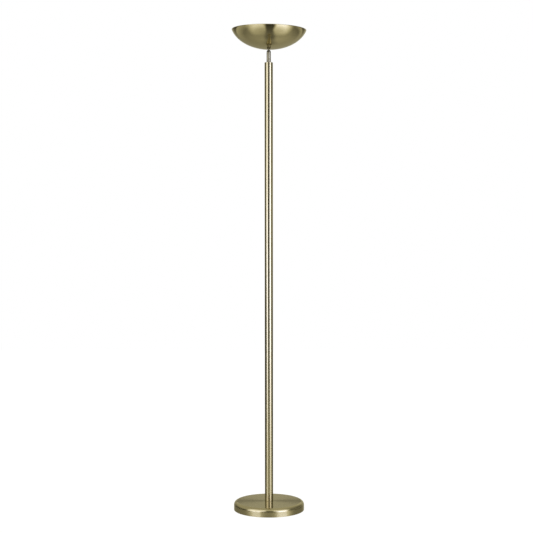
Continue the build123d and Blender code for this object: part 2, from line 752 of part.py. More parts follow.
# Hollow ball, neck and threaded stem in one turned piece
BALL_FLAT_Y = -sqrt(BALL_R**2 - BALL_FLAT_R**2)
NECK_ROOT_Y = sqrt(BALL_R**2 - NECK_R**2)
SHOULDER_Y = APEX_H + bowl_flat_h(0)
with BuildPart() as ball_stem:
    with BuildSketch(BALL_SIDE):
        with BuildLine():
            ThreePointArc((BALL_FLAT_R, BALL_FLAT_Y), (BALL_R, 0), (NECK_R, NECK_ROOT_Y))
            Polyline(
                (NECK_R, NECK_ROOT_Y),
                (NECK_R, SHOULDER_Y),
                (STEM_THREAD_R, SHOULDER_Y),
                (STEM_THREAD_R, APEX_H + STEM_TOP_H),
                (STEM_BORE_R, APEX_H + STEM_TOP_H),
                (STEM_BORE_R, BALL_FLAT_Y + BALL_FLAT_R - STEM_BORE_R),
                (BALL_FLAT_R, BALL_FLAT_Y),
            )
        make_face()
    revolve(axis=HEAD_AXIS)
ball_stem.part.label = "ball_stem"
export_step(ball_stem.part, "parts/ball_stem.step")

# ---- Bowl and its clamp ---------------------------------------------------------------

with BuildPart() as bowl:
    with BuildSketch(HEAD_SIDE):
        with BuildLine():
            skin = EllipticalCenterArc(**bowl_arc(0))
            lining = EllipticalCenterArc(**bowl_arc(BOWL_SHEET))
            Line(skin @ 1, lining @ 1)
            Polyline(
                skin @ 0,
                (STEM_THREAD_R + CLEAR, bowl_flat_h(0)),
                (STEM_THREAD_R + CLEAR, SEAT_H),
                lining @ 0,
            )
        make_face()
        edge_run = skin % 1
        with Locations(skin @ 1 + Vector(-edge_run.Y, edge_run.X) * BEAD_R):
            Circle(BEAD_R)
    revolve(axis=HEAD_AXIS)
bowl.part.label = "bowl"
export_step(bowl.part, "parts/bowl.step")

bowl_washer = ring(HEAD_LEVEL.offset(SEAT_H), CLAMP_WASHER_R, STEM_THREAD_R + CLEAR, WASHER_T)
bowl_washer.part.label = "bowl_washer"
export_step(bowl_washer.part, "parts/bowl_washer.step")

bracket_spacer = ring(
    HEAD_LEVEL.offset(CLAMP_WASHER_TOP_H),
    SPACER_R,
    STEM_THREAD_R + CLEAR,
    BRACKET_H - CLAMP_WASHER_TOP_H,
)
bracket_spacer.part.label = "bracket_spacer"
export_step(bracket_spacer.part, "parts/bracket_spacer.step")

lock_washer = ring(
    HEAD_LEVEL.offset(BRACKET_TOP_H), LOCK_WASHER_R, STEM_THREAD_R + CLEAR, LOCK_WASHER_T
)
lock_washer.part.label = "lock_washer"
export_step(lock_washer.part, "parts/lock_washer.step")

stem_nut = hex_nut(
    HEAD_LEVEL.offset(STEM_NUT_H), STEM_NUT_AF, STEM_THREAD_R + STEM_THREAD_FIT, STEM_NUT_T
)
stem_nut.part.label = "stem_nut"
export_step(stem_nut.part, "parts/stem_nut.step")

# ---- Lamp unit ------------------------------------------------------------------------

# Strap bent up at both ends and in again over the lamp holders, to carry the glass
STRAP_MID = BRACKET_HALF - BRACKET_T / 2
HOLDER_SCREW_POINTS = [(-HOLDER_SCREW_Y, HOLDER_SCREW_H), (HOLDER_SCREW_Y, HOLDER_SCREW_H)]
with BuildPart() as lamp_bracket:
    with BuildSketch(HEAD_SIDE):
        with BuildLine():
            FilletPolyline(
                (-TAB_INNER, GLASS_H - BRACKET_T / 2),
                (-STRAP_MID, GLASS_H - BRACKET_T / 2),
                (-STRAP_MID, BRACKET_H + BRACKET_T / 2),
                (STRAP_MID, BRACKET_H + BRACKET_T / 2),
                (STRAP_MID, GLASS_H - BRACKET_T / 2),
                (TAB_INNER, GLASS_H - BRACKET_T / 2),
                radius=BRACKET_BEND_R,
            )
        trace(line_width=BRACKET_T)
    extrude(amount=BRACKET_W / 2, both=True)
    with BuildSketch(HEAD_LEVEL.offset(BRACKET_H)):
        Circle(STEM_THREAD_R + CLEAR)
        with Locations((-POST_X, 0), (POST_X, 0)):
            Circle(RIVET_R + CLEAR)
    extrude(amount=BRACKET_T, mode=Mode.SUBTRACT)
    with BuildSketch(HEAD_END):
        with Locations(*HOLDER_SCREW_POINTS):
            Circle(SCREW_R + CLEAR)
    extrude(amount=BRACKET_HALF, both=True, mode=Mode.SUBTRACT)
lamp_bracket.part.label = "lamp_bracket"
export_step(lamp_bracket.part, "parts/lamp_bracket.step")

# Reflector: a trough under the lamp, round at the bottom and straight up its sides
ARC = radians(REFLECTOR_ARC)
FLARE = (REFLECTOR_TOP - LAMP_H + REFLECTOR_R * cos(ARC)) / sin(ARC)
with BuildPart() as reflector:
    with BuildSketch(HEAD_END):
        with BuildLine():
            mid_r = REFLECTOR_R + REFLECTOR_T / 2
            trough = ThreePointArc(
                (-mid_r * sin(ARC), LAMP_H - mid_r * cos(ARC)),
                (0, LAMP_H - mid_r),
                (mid_r * sin(ARC), LAMP_H - mid_r * cos(ARC)),
            )
            PolarLine(trough @ 0, FLARE, direction=trough % 0 * -1)
            PolarLine(trough @ 1, FLARE, direction=trough % 1)
        trace(line_width=REFLECTOR_T)
    extrude(amount=REFLECTOR_HALF, both=True)
    with BuildSketch(HEAD_LEVEL.offset(REFLECTOR_BOTTOM_H - CLEAR)):
        with Locations((-POST_X, 0), (POST_X, 0)):
            Circle(RIVET_R + CLEAR)
    extrude(amount=REFLECTOR_R / 2, mode=Mode.SUBTRACT)
reflector.part.label = "reflector"
export_step(reflector.part, "parts/reflector.step")

with BuildPart() as reflector_posts:
    with BuildSketch(HEAD_LEVEL.offset(BRACKET_TOP_H)):
        with Locations((-POST_X, 0), (POST_X, 0)):
            Circle(POST_R)
            Circle(RIVET_R + CLEAR, mode=Mode.SUBTRACT)
    extrude(amount=REFLECTOR_BOTTOM_H - BRACKET_TOP_H)
reflector_posts.part.label = "reflector_posts"
export_step(reflector_posts.part, "parts/reflector_posts.step")

# Rivets through the trough, the posts and the strap, headed at both ends
RIVET_TOP_H = REFLECTOR_BOTTOM_H + REFLECTOR_T + RIVET_HEAD_RISE
with BuildPart() as reflector_rivets:
    for low, radius, height in (
        (BRACKET_H - RIVET_HEAD_T, RIVET_HEAD_R, RIVET_HEAD_T),
        (BRACKET_H, RIVET_R, RIVET_TOP_H - BRACKET_H),
        (RIVET_TOP_H, RIVET_HEAD_R, RIVET_HEAD_T),
    ):
        with BuildSketch(HEAD_LEVEL.offset(low)):
            with Locations((-POST_X, 0), (POST_X, 0)):
                Circle(radius)
        extrude(amount=height)
reflector_rivets.part.label = "reflector_rivets"
export_step(reflector_rivets.part, "parts/reflector_rivets.step")

# Double-ended linear lamp: quartz tube, ceramic ends with contact recesses, filament
with BuildPart() as lamp_tube:
    with BuildSketch(HEAD_SIDE):
        with BuildLine():
            Polyline(
                (-TUBE_HALF, LAMP_H + TUBE_NECK_R),
                (-TUBE_NECK_HALF, LAMP_H + TUBE_NECK_R),
                (-TUBE_STRAIGHT_HALF, LAMP_H + TUBE_R),
                (TUBE_STRAIGHT_HALF, LAMP_H + TUBE_R),
                (TUBE_NECK_HALF, LAMP_H + TUBE_NECK_R),
                (TUBE_HALF, LAMP_H + TUBE_NECK_R),
                (TUBE_HALF, LAMP_H + TUBE_NECK_R - TUBE_WALL),
                (TUBE_NECK_HALF, LAMP_H + TUBE_NECK_R - TUBE_WALL),
                (TUBE_STRAIGHT_HALF, LAMP_H + TUBE_R - TUBE_WALL),
                (-TUBE_STRAIGHT_HALF, LAMP_H + TUBE_R - TUBE_WALL),
                (-TUBE_NECK_HALF, LAMP_H + TUBE_NECK_R - TUBE_WALL),
                (-TUBE_HALF, LAMP_H + TUBE_NECK_R - TUBE_WALL),
                close=True,
            )
        make_face()
    revolve(axis=LAMP_AXIS)
lamp_tube.part.label = "lamp_tube"
export_step(lamp_tube.part, "parts/lamp_tube.step")

with BuildPart() as lamp_ends:
    for side in SIDES.values():
        with BuildSketch(HEAD_SIDE):
            with BuildLine():
                Polyline(
                    (side * LAMP_END_IN, LAMP_H + TUBE_NECK_R + CLEAR),
                    (side * LAMP_END_IN, LAMP_H + LAMP_END_R),
                    (side * LAMP_HALF, LAMP_H + LAMP_END_R),
                    (side * LAMP_HALF, LAMP_H + LAMP_RECESS_R),
                    (side * CONTACT_HALF, LAMP_H + LAMP_RECESS_R),
                    (side * CONTACT_HALF, LAMP_H),
                    (side * TUBE_HALF, LAMP_H),
                    (side * TUBE_HALF, LAMP_H + TUBE_NECK_R + CLEAR),
                    close=True,
                )
            make_face()
        revolve(axis=LAMP_AXIS)
lamp_ends.part.label = "lamp_ends"
export_step(lamp_ends.part, "parts/lamp_ends.step")

with BuildPart() as lamp_filament:
    for half, radius in ((TUBE_HALF, FILAMENT_LEG_R), (FILAMENT_HALF, FILAMENT_R)):
        with BuildSketch(HEAD_END):
            with Locations((0, LAMP_H)):
                Circle(radius)
        extrude(amount=half, both=True)
lamp_filament.part.label = "lamp_filament"
export_step(lamp_filament.part, "parts/lamp_filament.step")

# At each end: ceramic holder, sprung contact pin with its spring, and the lead to it
for name, side in SIDES.items():
    holder_face = HEAD_END.offset(side * HOLDER_IN)
    with BuildPart() as holder:
        with BuildSketch(holder_face):
            with Locations((0, (HOLDER_LOW + HOLDER_HIGH) / 2)):
                RectangleRounded(HOLDER_W, HOLDER_HIGH - HOLDER_LOW, HOLDER_EDGE_R)
        extrude(amount=side * (HOLDER_OUT - HOLDER_IN))
        with BuildSketch(holder_face):
            with Locations((0, LAMP_H)):
                Circle(SLOT_R)
            with Locations((0, (LAMP_H + HOLDER_HIGH) / 2)):
                Rectangle(2 * SLOT_R, HOLDER_HIGH - LAMP_H)
        extrude(amount=side * (SLOT_END - HOLDER_IN), mode=Mode.SUBTRACT)
        with BuildSketch(HEAD_END.offset(side * SLOT_END)):
            with Locations((0, LAMP_H)):
                Circle(PIN_BORE_R)
        extrude(amount=side * (PIN_BORE_END - SLOT_END), mode=Mode.SUBTRACT)
        with BuildSketch(HEAD_END.offset(side * HOLDER_OUT)):
            with Locations(*HOLDER_SCREW_POINTS):
                Circle(SCREW_R)
        extrude(amount=-side * HOLDER_SCREW_L, mode=Mode.SUBTRACT)
        with BuildSketch(HEAD_LEVEL.offset(HOLDER_LOW)):
            with Locations((side * LEAD_X, -side * LEAD_Y)):
                Circle(LEAD_R + CLEAR)
        extrude(amount=LEAD_ENTRY_L, mode=Mode.SUBTRACT)
    holder.part.label = f"holder_{name}"
    export_step(holder.part, f"parts/holder_{name}.step")

    with BuildPart() as contact_pin:
        for start, end, radius in (
            (CONTACT_HALF + PIN_GAP, PIN_NOSE_END, PIN_NOSE_R),
            (PIN_NOSE_END, PIN_BACK, PIN_R),
        ):
            with BuildSketch(HEAD_END.offset(side * start)):
                with Locations((0, LAMP_H)):
                    Circle(radius)
            extrude(amount=side * (end - start))
        tip_edge = contact_pin.edges().filter_by(GeomType.CIRCLE).sort_by_distance(APEX)[:1]
        fillet(tip_edge, PIN_TIP_R)
    contact_pin.part.label = f"contact_pin_{name}"
    export_step(contact_pin.part, f"parts/contact_pin_{name}.step")

    with BuildPart() as contact_spring:
        with BuildSketch(HEAD_END.offset(side * PIN_BACK)):
            with Locations((0, LAMP_H)):
                Circle(PIN_SPRING_R)
                Circle(PIN_SPRING_R - PIN_SPRING_WALL, mode=Mode.SUBTRACT)
        extrude(amount=side * (PIN_BORE_END - PIN_BACK))
    contact_spring.part.label = f"contact_spring_{name}"
    export_step(contact_spring.part, f"parts/contact_spring_{name}.step")

    with BuildPart() as lead:
        with BuildLine(HEAD_LEVEL):
            lead_path = FilletPolyline(
                (side * LEAD_GAP, 0, LEAD_START_H),
                (side * LEAD_GAP, 0, LEAD_H),
                (side * LEAD_TURN_X, -side * LEAD_Y, LEAD_H),
                (side * LEAD_X, -side * LEAD_Y, LEAD_H),
                (side * LEAD_X, -side * LEAD_Y, HOLDER_LOW + LEAD_ENTRY_L - LEAD_SHORT),
                radius=(LEAD_BEND_R, LEAD_SWEEP_R, LEAD_BEND_R),
            )
        with BuildSketch(Plane(lead_path @ 0, z_dir=lead_path % 0)):
            Circle(LEAD_R)
        sweep()
    lead.part.label = f"lead_{name}"
    export_step(lead.part, f"parts/lead_{name}.step")

with BuildPart() as glass_pane:
    with BuildSketch(HEAD_LEVEL.offset(GLASS_H)):
        RectangleRounded(GLASS_L, GLASS_W, GLASS_CORNER_R)
    extrude(amount=GLASS_T)
    chamfer(glass_pane.edges().group_by(HEAD_AXIS)[-1], GLASS_BEVEL)
glass_pane.part.label = "glass_pane"
export_step(glass_pane.part, "parts/glass_pane.step")

# Spring steel clips, one over each end of the glass
CLIP_MID = BRACKET_HALF + CLIP_T / 2
with BuildPart() as glass_clips:
    for side in SIDES.values():
        with BuildSketch(HEAD_SIDE):
            with BuildLine():
                FilletPolyline(
                    (side * CLIP_MID, CLIP_LOW),
                    (side * CLIP_MID, GLASS_H + GLASS_T + CLIP_T / 2),
                    (side * CLIP_INNER, GLASS_H + GLASS_T + CLIP_T / 2),
                    radius=CLIP_BEND_R,
                )
            trace(line_width=CLIP_T)
        extrude(amount=CLIP_W / 2, both=True)
    with BuildSketch(HEAD_END):
        with Locations(*HOLDER_SCREW_POINTS):
            Circle(SCREW_R + CLEAR)
    extrude(amount=BRACKET_HALF + 2 * CLIP_T, both=True, mode=Mode.SUBTRACT)
glass_clips.part.label = "glass_clips"
export_step(glass_clips.part, "parts/glass_clips.step")

holder_screw_planes = [
    Plane(
        APEX + HEAD_X * side * (BRACKET_HALF + CLIP_T) + HEAD_Y * y + HEAD_UP * h,
        z_dir=HEAD_X * side,
    )
    for side in SIDES.values()
    for y, h in HOLDER_SCREW_POINTS
]
holder_screws = headed_pins(
    holder_screw_planes,
    SCREW_HEAD_R,
    SCREW_HEAD_T,
    SCREW_R,
    HOLDER_SCREW_L + BRACKET_T + CLIP_T - CLEAR,
)
holder_screws.part.label = "holder_screws"
export_step(holder_screws.part, "parts/holder_screws.step")
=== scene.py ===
import json
import math

import bpy
from mathutils import Matrix, Vector


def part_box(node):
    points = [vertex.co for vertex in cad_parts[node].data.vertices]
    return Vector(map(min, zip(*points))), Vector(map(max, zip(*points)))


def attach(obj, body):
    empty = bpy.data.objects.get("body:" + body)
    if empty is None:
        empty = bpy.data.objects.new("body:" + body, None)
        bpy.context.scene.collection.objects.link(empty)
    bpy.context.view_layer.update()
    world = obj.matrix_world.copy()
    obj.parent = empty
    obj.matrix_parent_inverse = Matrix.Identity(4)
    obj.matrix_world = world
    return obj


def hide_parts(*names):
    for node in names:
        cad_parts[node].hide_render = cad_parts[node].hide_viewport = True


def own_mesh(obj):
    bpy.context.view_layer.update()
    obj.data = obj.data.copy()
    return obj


# A torchiere floor lamp: finer turned shells, coils, materials and a studio round the CAD part.

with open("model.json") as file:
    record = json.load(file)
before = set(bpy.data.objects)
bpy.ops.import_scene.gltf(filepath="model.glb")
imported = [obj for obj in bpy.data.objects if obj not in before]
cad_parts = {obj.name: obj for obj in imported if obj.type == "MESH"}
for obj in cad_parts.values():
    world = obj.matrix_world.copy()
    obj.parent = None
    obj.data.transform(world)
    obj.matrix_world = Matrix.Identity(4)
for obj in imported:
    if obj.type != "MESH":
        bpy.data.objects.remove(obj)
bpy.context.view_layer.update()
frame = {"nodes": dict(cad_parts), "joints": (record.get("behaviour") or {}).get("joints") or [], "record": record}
nodes = frame["nodes"]
scene = bpy.context.scene

# ---- Sizes in metres, as in the CAD part ------------------------------------------------

EDGE_R = 0.0003
SEAM_EDGE_R = 0.0002

BASE_R = 0.1317
BASE_TOP = 0.0332
BASE_FOOT = 0.0015
BASE_CORNER_R = 0.013
SHEET = 0.001
HOLE_R = 0.0053
GROMMET_Z = 0.011
INLET_HALF_H = 0.0039

POLE_R = 0.0155
POLE_WALL = 0.0012
POLE_TOP = 1.6757
SEAM_CHAMFER = 0.0003
CAP_CORNER_R = 0.0012
CAP_BORE_R = 0.005
CAP_PLUG_GAP = 0.00008
CAP_PLUG_R = POLE_R - POLE_WALL - CAP_PLUG_GAP
CAP_PLUG_WALL = 0.0028
CAP_CROWN_DEPTH = 0.005

JOINT_R = 0.0079
RING_BORE_R = 0.005
RING_CHAMFER = 0.00035
CAP_SHADE_LOW = 1.7142  # painted shade on the joint cap's shoulder, between these heights
CAP_SHADE_HIGH = 1.7202

LEAN = math.radians(1.73)
APEX_H = 0.0086
BOWL_A = 0.1442
BOWL_B = 0.0966
BOWL_SHEET = 0.0009
BOWL_EDGE_H = 0.0704
BOWL_FLAT_R = 0.012
BEAD_R = 0.0019
BEAD_GAP = 14  # degrees left between the bead's end and the bowl's inner face
STEM_HOLE_R = 0.0033

LAMP_H = 0.047
TUBE_R = 0.0055
TUBE_WALL = 0.0009
TUBE_STRAIGHT_HALF = 0.039
TUBE_NECK_R = 0.0032
TUBE_NECK_HALF = 0.0435
TUBE_HALF = 0.05
TUBE_BEND_R = 0.004
FILAMENT_R = 0.00078
FILAMENT_HALF = 0.0355
FILAMENT_PITCH = 0.0008
FILAMENT_WIRE_R = 0.00013
SPRING_START = 0.066
SPRING_END = 0.069
SPRING_R = 0.0017
SPRING_WIRE_R = 0.00022
SPRING_TURNS = 4.5

# Steps round each turned piece, and along each turn of a coil
COVER_STEPS = 288
INLET_STEPS = 2  # to either side of the cover's rear
BOWL_STEPS = 288
BOWL_ARC_STEPS = 72
BEAD_STEPS = 22
POLE_STEPS = 144
RING_STEPS = 96
TUBE_STEPS = 64
FILAMENT_STEPS = 12
FILAMENT_SIDES = 6
SPRING_STEPS = 20
SPRING_SIDES = 8

tilt = next(joint for joint in frame["joints"] if joint["name"] == "head_tilt")
HEAD = (
    Matrix.Translation(tilt["pos_m"])
    @ Matrix.Rotation(LEAN, 4, Vector(tilt["axis"]))
    @ Matrix.Translation((0, 0, APEX_H))
)
LAMP = HEAD @ Matrix.Translation((0, 0, LAMP_H)) @ Matrix.Rotation(math.pi / 2, 4, "Y")


def in_head(x, y, h):
    """World position of a point given along the lamp, across it and above the bowl's apex."""
    return HEAD @ Vector((x, y, h))


# ---- Turned pieces: a profile of runs, each point with its exact direction ----------------


def line(start, end):
    """A straight run of a profile."""
    direction = (Vector(end) - Vector(start)).normalized()
    return [(Vector(start), direction), (Vector(end), direction)]


def arc(centre, radii, start, end, steps):
    """A run along an ellipse, angles in degrees, counterclockwise when end > start."""
    run = []
    sense = 1 if end > start else -1
    for i in range(steps + 1):
        angle = math.radians(start + (end - start) * i / steps)
        cos, sin = math.cos(angle), math.sin(angle)
        point = Vector((centre[0] + radii[0] * cos, centre[1] + radii[1] * sin))
        way = Vector((-radii[0] * sin, radii[1] * cos)) * sense
        run.append((point, way.normalized()))
    return run


def path(corners, steps):
    """Runs round a closed polygon of (radius, height) or (radius, height, rounding) corners."""
    count = len(corners)
    points = [Vector(corner[:2]) for corner in corners]
    bends = []
    for i, corner in enumerate(corners):
        here = points[i]
        if len(corner) == 2:
            bends.append([(here, None)])
            continue
        rounding = corner[2]
        back = (points[i - 1] - here).normalized()
        on = (points[(i + 1) % count] - here).normalized()
        half = back.angle(on) / 2
        reach = rounding / math.tan(half)
        centre = here + (back + on).normalized() * (rounding / math.sin(half))
        enter = (here + back * reach) - centre
        leave = (here + on * reach) - centre
        sweep = math.atan2(enter.x * leave.y - enter.y * leave.x, enter.dot(leave))
        start = math.degrees(math.atan2(enter.y, enter.x))
        bends.append(arc(centre, (rounding, rounding), start, start + math.degrees(sweep), steps))
    runs = []
    for bend, following in zip(bends, bends[1:] + bends[:1]):
        if len(bend) > 1:
            runs.append(bend)
        runs.append(line(bend[-1][0], following[0][0]))
    return runs


def linked(name, mesh, place=None):
    """An object with this mesh, in the scene."""
    piece = bpy.data.objects.new(name, mesh)
    scene.collection.objects.link(piece)
    if place is not None:
        piece.matrix_world = place
    return piece


def around(gaps):
    """The faces that line one opening, from the outer wall's gaps and the inner wall's behind them."""
    half = len(gaps) // 2
    walls = []
    for (step, a, b, c, d), (_, d_in, c_in, b_in, a_in) in zip(gaps[:half], gaps[half:]):
        walls += [(a_in, a, b, b_in), (d_in, c_in, c, d)]
        if step == gaps[0][0]:
            walls.append((a_in, d_in, d, a))
        if step == gaps[-1][0]:
            walls.append((b, c, c_in, b_in))
    return walls


def turned(name, runs, segments, place=None, leave_out=None):
    """A mesh turned round local Z from profile runs, counterclockwise in (radius, height).

    leave_out says which faces are left open, from the step round, the height and the
    radius: one opening, through an outer wall and then the inner wall behind it.
    """
    verts, faces, normals, gaps = [], [], [], []
    rings = {}
    turns = [2 * math.pi * step / segments for step in range(segments + 1)]

    def ring(point):
        key = (round(point.x, 7), round(point.y, 7))
        if key not in rings:
            first = len(verts)
            for turn in turns[:-1]:
                verts.append((point.x * math.cos(turn), point.x * math.sin(turn), point.y))
            rings[key] = list(range(first, first + segments))
        return rings[key]

    for run in runs:
        for (p, way_p), (q, way_q) in zip(run, run[1:]):
            low, high = ring(p), ring(q)
            for k in range(segments):
                n = (k + 1) % segments
                corners = (low[k], low[n], high[n], high[k])
                if leave_out and leave_out(k, (p.y + q.y) / 2, (p.x + q.x) / 2):
                    gaps.append((k, *corners))
                    continue
                faces.append(corners)
                sides = ((turns[k], way_p), (turns[k + 1], way_p), (turns[k + 1], way_q), (turns[k], way_q))
                for turn, way in sides:
                    normals.append((way.y * math.cos(turn), way.y * math.sin(turn), -way.x))

    for wall in around(gaps):
        p, q, r = (Vector(verts[i]) for i in wall[:3])
        faces.append(wall)
        normals.extend([(q - p).cross(r - q).normalized()] * 4)
    mesh = bpy.data.meshes.new(name)
    mesh.from_pydata(verts, [], faces)
    mesh.validate()
    mesh.polygons.foreach_set("use_smooth", [True] * len(mesh.polygons))
    mesh.normals_split_custom_set(normals)
    return linked(name, mesh, place)


def wound(name, points, radius, sides):
    """A round wire along points, with closed ends."""
    verts, faces = [], []
    last = len(points) - 1
    side = (points[1] - points[0]).orthogonal().normalized()
    for i, point in enumerate(points):
        way = (points[min(i + 1, last)] - points[max(i - 1, 0)]).normalized()
        side = (side - way * side.dot(way)).normalized()
        up = way.cross(side)
        for k in range(sides):
            turn = 2 * math.pi * k / sides
            verts.append(point + (side * math.cos(turn) + up * math.sin(turn)) * radius)
    for first in range(0, last * sides, sides):
        for k in range(sides):
            n = (k + 1) % sides
            faces.append((first + k, first + n, first + sides + n, first + sides + k))
    faces.append(tuple(reversed(range(sides))))
    faces.append(tuple(range(len(verts) - sides, len(verts))))
    mesh = bpy.data.meshes.new(name)
    mesh.from_pydata(verts, [], faces)
    mesh.polygons.foreach_set("use_smooth", [len(face) == 4 for face in faces])
    return linked(name, mesh)


def give(piece, material):
    """Makes this the piece's only material."""
    piece.data.materials.clear()
    piece.data.materials.append(material)


def stand_for(piece, body, slot, material, *replaced):
    """Puts a finished piece on its body, in place of CAD nodes."""
    give(piece, material)
    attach(piece, body)
    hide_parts(*replaced)


# ---- Node trees -----------------------------------------------------------------------------


class Graph:
    """Short calls for building a node tree."""

    def __init__(self, owner):
        owner.use_nodes = True
        self.tree = owner.node_tree
        self.tree.nodes.clear()

    def node(self, kind, **settings):
        made = self.tree.nodes.new(kind)
        for key, value in settings.items():
            setattr(made, key, value)
        return made

    def put(self, socket, value):
        """Links an output to the socket, or sets the socket to a number or colour."""
        if isinstance(value, bpy.types.NodeSocket):
            self.tree.links.new(value, socket)
        else:
            socket.default_value = value

    def math(self, operation, *values):
        made = self.node("ShaderNodeMath", operation=operation)
        for socket, value in zip(made.inputs, values):
            self.put(socket, value)
        return made.outputs[0]

    def add(self, a, b):
        return self.math("ADD", a, b)

    def minus(self, a, b):
        return self.math("SUBTRACT", a, b)

    def times(self, a, b):
        return self.math("MULTIPLY", a, b)

    def between(self, factor, a, b):
        """a where factor is 0, b where it is 1."""
        return self.add(a, self.times(factor, self.minus(b, a)))

    def shares(self, *pairs):
        """The sum of each value times its share."""
        parts = [self.times(value, share) for value, share in pairs]
        total = parts[0]
        for part in parts[1:]:
            total = self.add(total, part)
        return total

    def ramp(self, value, low, high, to_low=0.0, to_high=1.0, smooth=True):
        """Runs from to_low to to_high as value goes from low to high, and stays there."""
        made = self.node("ShaderNodeMapRange", interpolation_type="SMOOTHSTEP" if smooth else "LINEAR")
        keys = ("Value", "From Min", "From Max", "To Min", "To Max")
        for key, item in zip(keys, (value, low, high, to_low, to_high)):
            self.put(made.inputs[key], item)
        return made.outputs[0]

    def curve(self, value, pairs, low, high, limit):
        """Straight stretches through (value, result) pairs; results stay below limit."""
        made = self.node("ShaderNodeValToRGB")
        self.put(made.inputs[0], self.ramp(value, low, high, smooth=False))
        elements = made.color_ramp.elements
        while len(elements) > 1:
            elements.remove(elements[-1])
        for i, (at, result) in enumerate(pairs):
            position = (at - low) / (high - low)
            element = elements[0] if i == 0 else elements.new(position)
            element.position = position
            shade = result / limit
            element.color = (shade, shade, shade, 1)
        return self.times(made.outputs[0], limit)

    def noise(self, vector, scale, detail, roughness):
        made = self.node("ShaderNodeTexNoise")
        self.put(made.inputs["Vector"], vector)
        made.inputs["Scale"].default_value = scale
        made.inputs["Detail"].default_value = detail
        made.inputs["Roughness"].default_value = roughness
        return made.outputs["Fac"]

    def split(self, vector):
        made = self.node("ShaderNodeSeparateXYZ")
        self.put(made.inputs[0], vector)
        return made.outputs

    def vector(self, x, y, z):
        made = self.node("ShaderNodeCombineXYZ")
        for socket, value in zip(made.inputs, (x, y, z)):
            self.put(socket, value)
        return made.outputs[0]

    def mix(self, factor, a, b):
        """Colour a where factor is 0, colour b where it is 1."""
        made = self.node("ShaderNodeMix", data_type="RGBA")
        for socket, value in zip((made.inputs[0], made.inputs[6], made.inputs[7]), (factor, a, b)):
            self.put(socket, value)
        return made.outputs[2]

    def bump(self, height, strength, distance):
        made = self.node("ShaderNodeBump")
        made.inputs["Strength"].default_value = strength
        made.inputs["Distance"].default_value = distance
        self.put(made.inputs["Height"], height)
        return made.outputs[0]


TONE = (0.3, 0.7)  # where nearly all of a grain's values lie
METAL_TONE = (0.32, 0.68)


def shader(name):
    """A material with one principled shader, as (graph, shader, material)."""
    material = bpy.data.materials.new(name)
    graph = Graph(material)
    surface = graph.node("ShaderNodeBsdfPrincipled")
    output = graph.node("ShaderNodeOutputMaterial")
    graph.put(output.inputs[0], surface.outputs[0])
    return graph, surface, material


# ---- Turned brass and nickel ----------------------------------------------------------------

# Painted shade: the colour, strength and fade of a dark band painted on the joint cap's shoulder
PAINTED_SHADE = (0.035, 0.033, 0.028, 1)
PAINTED_SHADE_DEPTH = 0.9
PAINTED_SHADE_FADE = 0.2
EDGE_TINT = (0.92, 0.9, 0.84, 1)
ROUGHNESS_SPREAD = 0.035
BROAD_LINES = 0.16  # broad lines to one fine line
FINE_SHARE, BROAD_SHARE, CLOUD_SHARE = 0.45, 0.35, 0.2


def turned_metal(name, colour, dark, roughness, aniso, along, line_size=0.0006, painted_shade_band=None):
    """Metal brushed on the lathe: fine lines round local Z.

    along is how (radius, height) run along the profile, and the last argument gives the heights
    between which a band of painted shade darkens the colour.
    """
    graph, surface, material = shader(name)
    where = graph.node("ShaderNodeTexCoord").outputs["Object"]
    x, y, z = graph.split(where)
    radius = graph.math("SQRT", graph.add(graph.times(x, x), graph.times(y, y)))
    turn = graph.math("ARCTAN2", y, x)
    run = graph.add(graph.times(radius, along[0]), graph.times(z, along[1]))
    cos, sin = graph.math("COSINE", turn), graph.math("SINE", turn)
    fine_lines = graph.vector(cos, sin, graph.times(run, 1 / line_size))
    broad_lines = graph.vector(cos, sin, graph.times(run, BROAD_LINES / line_size))
    fine = graph.noise(fine_lines, scale=1.0, detail=4.0, roughness=0.6)
    broad = graph.noise(broad_lines, scale=1.0, detail=3.0, roughness=0.55)
    cloud = graph.noise(where, scale=14.0, detail=3.0, roughness=0.5)
    tone = graph.shares((fine, FINE_SHARE), (broad, BROAD_SHARE), (cloud, CLOUD_SHARE))
    shown = graph.mix(graph.ramp(tone, *METAL_TONE), dark, colour)
    # Painted shade: a dark band between two heights, mixed into the colour
    if painted_shade_band:
        low, high = painted_shade_band
        fade = (high - low) * PAINTED_SHADE_FADE
        band = graph.times(graph.ramp(z, low, low + fade), graph.ramp(z, high, high - fade))
        shown = graph.mix(graph.times(band, PAINTED_SHADE_DEPTH), shown, PAINTED_SHADE)
    most, least = roughness + ROUGHNESS_SPREAD, roughness - ROUGHNESS_SPREAD
    tangent = graph.node("ShaderNodeTangent", direction_type="RADIAL", axis="Z")
    graph.put(surface.inputs["Base Color"], shown)
    graph.put(surface.inputs["Roughness"], graph.ramp(tone, *TONE, most, least))
    graph.put(surface.inputs["Tangent"], tangent.outputs[0])
    graph.put(surface.inputs["Normal"], graph.bump(fine, strength=0.12, distance=0.00002))
    surface.inputs["Metallic"].default_value = 1.0
    surface.inputs["Anisotropic"].default_value = aniso
    surface.inputs["Anisotropic Rotation"].default_value = 0.25
    surface.inputs["Specular Tint"].default_value = EDGE_TINT
    return material


BRASS = {"colour": (0.47, 0.416, 0.258, 1), "dark": (0.41, 0.361, 0.217, 1)}
NICKEL = {
    "colour": (0.3, 0.276, 0.187, 1),
    "dark": (0.24, 0.218, 0.145, 1),
    "roughness": 0.36,
    "aniso": 0.3,
    "along": (1, 1),
    "line_size": 0.0003,
}
brass_base = turned_metal("brass_base", roughness=0.155, aniso=0.92, along=(1, -1), **BRASS)
brass_pole = turned_metal("brass_pole", roughness=0.13, aniso=0.9, along=(0, 1), **BRASS)
brass_bowl = turned_metal("brass_bowl", roughness=0.12, aniso=0.9, along=(1, 1), **BRASS)
nickel = turned_metal("nickel", **NICKEL)
# The joint cap gets a band of painted shade on its shoulder
nickel_cap = turned_metal("nickel_cap", painted_shade_band=(CAP_SHADE_LOW, CAP_SHADE_HIGH), **NICKEL)

# ---- Base cover -------------------------------------------------------------------------------


